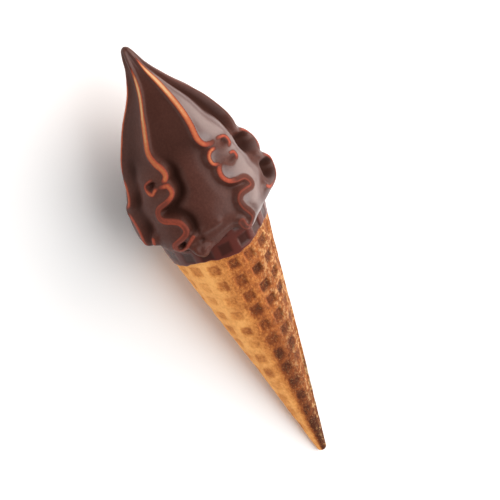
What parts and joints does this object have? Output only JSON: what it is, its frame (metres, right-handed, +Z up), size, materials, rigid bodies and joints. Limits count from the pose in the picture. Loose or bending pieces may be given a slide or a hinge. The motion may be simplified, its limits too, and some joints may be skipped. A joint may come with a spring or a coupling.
{
  "type": "ice cream cone",
  "caption": "Soft ice cream swirl with ruffled fins, dipped in dark chocolate, on a rolled waffle cone that lies on its side.",
  "frame": {"origin": "middle of the bottom of the box round the part, on the surface that it lies on", "axes": "+X from the cone's tip towards the swirl's peak, along the length as it lies; +Z up, with the shown side up; +Y to the side"},
  "size_m": [0.201, 0.0644, 0.0623],
  "materials": {
    "wafer": "baked wafer, golden with darker toasted patches, dry and slightly fuzzy",
    "chocolate": "thin dark chocolate coat, satin, worn to a warm orange brown along the ridges"
  },
  "bodies": {
    "root": {"wafer_cone": "wafer", "dipped_swirl": "chocolate"}
  },
  "joints": []
}
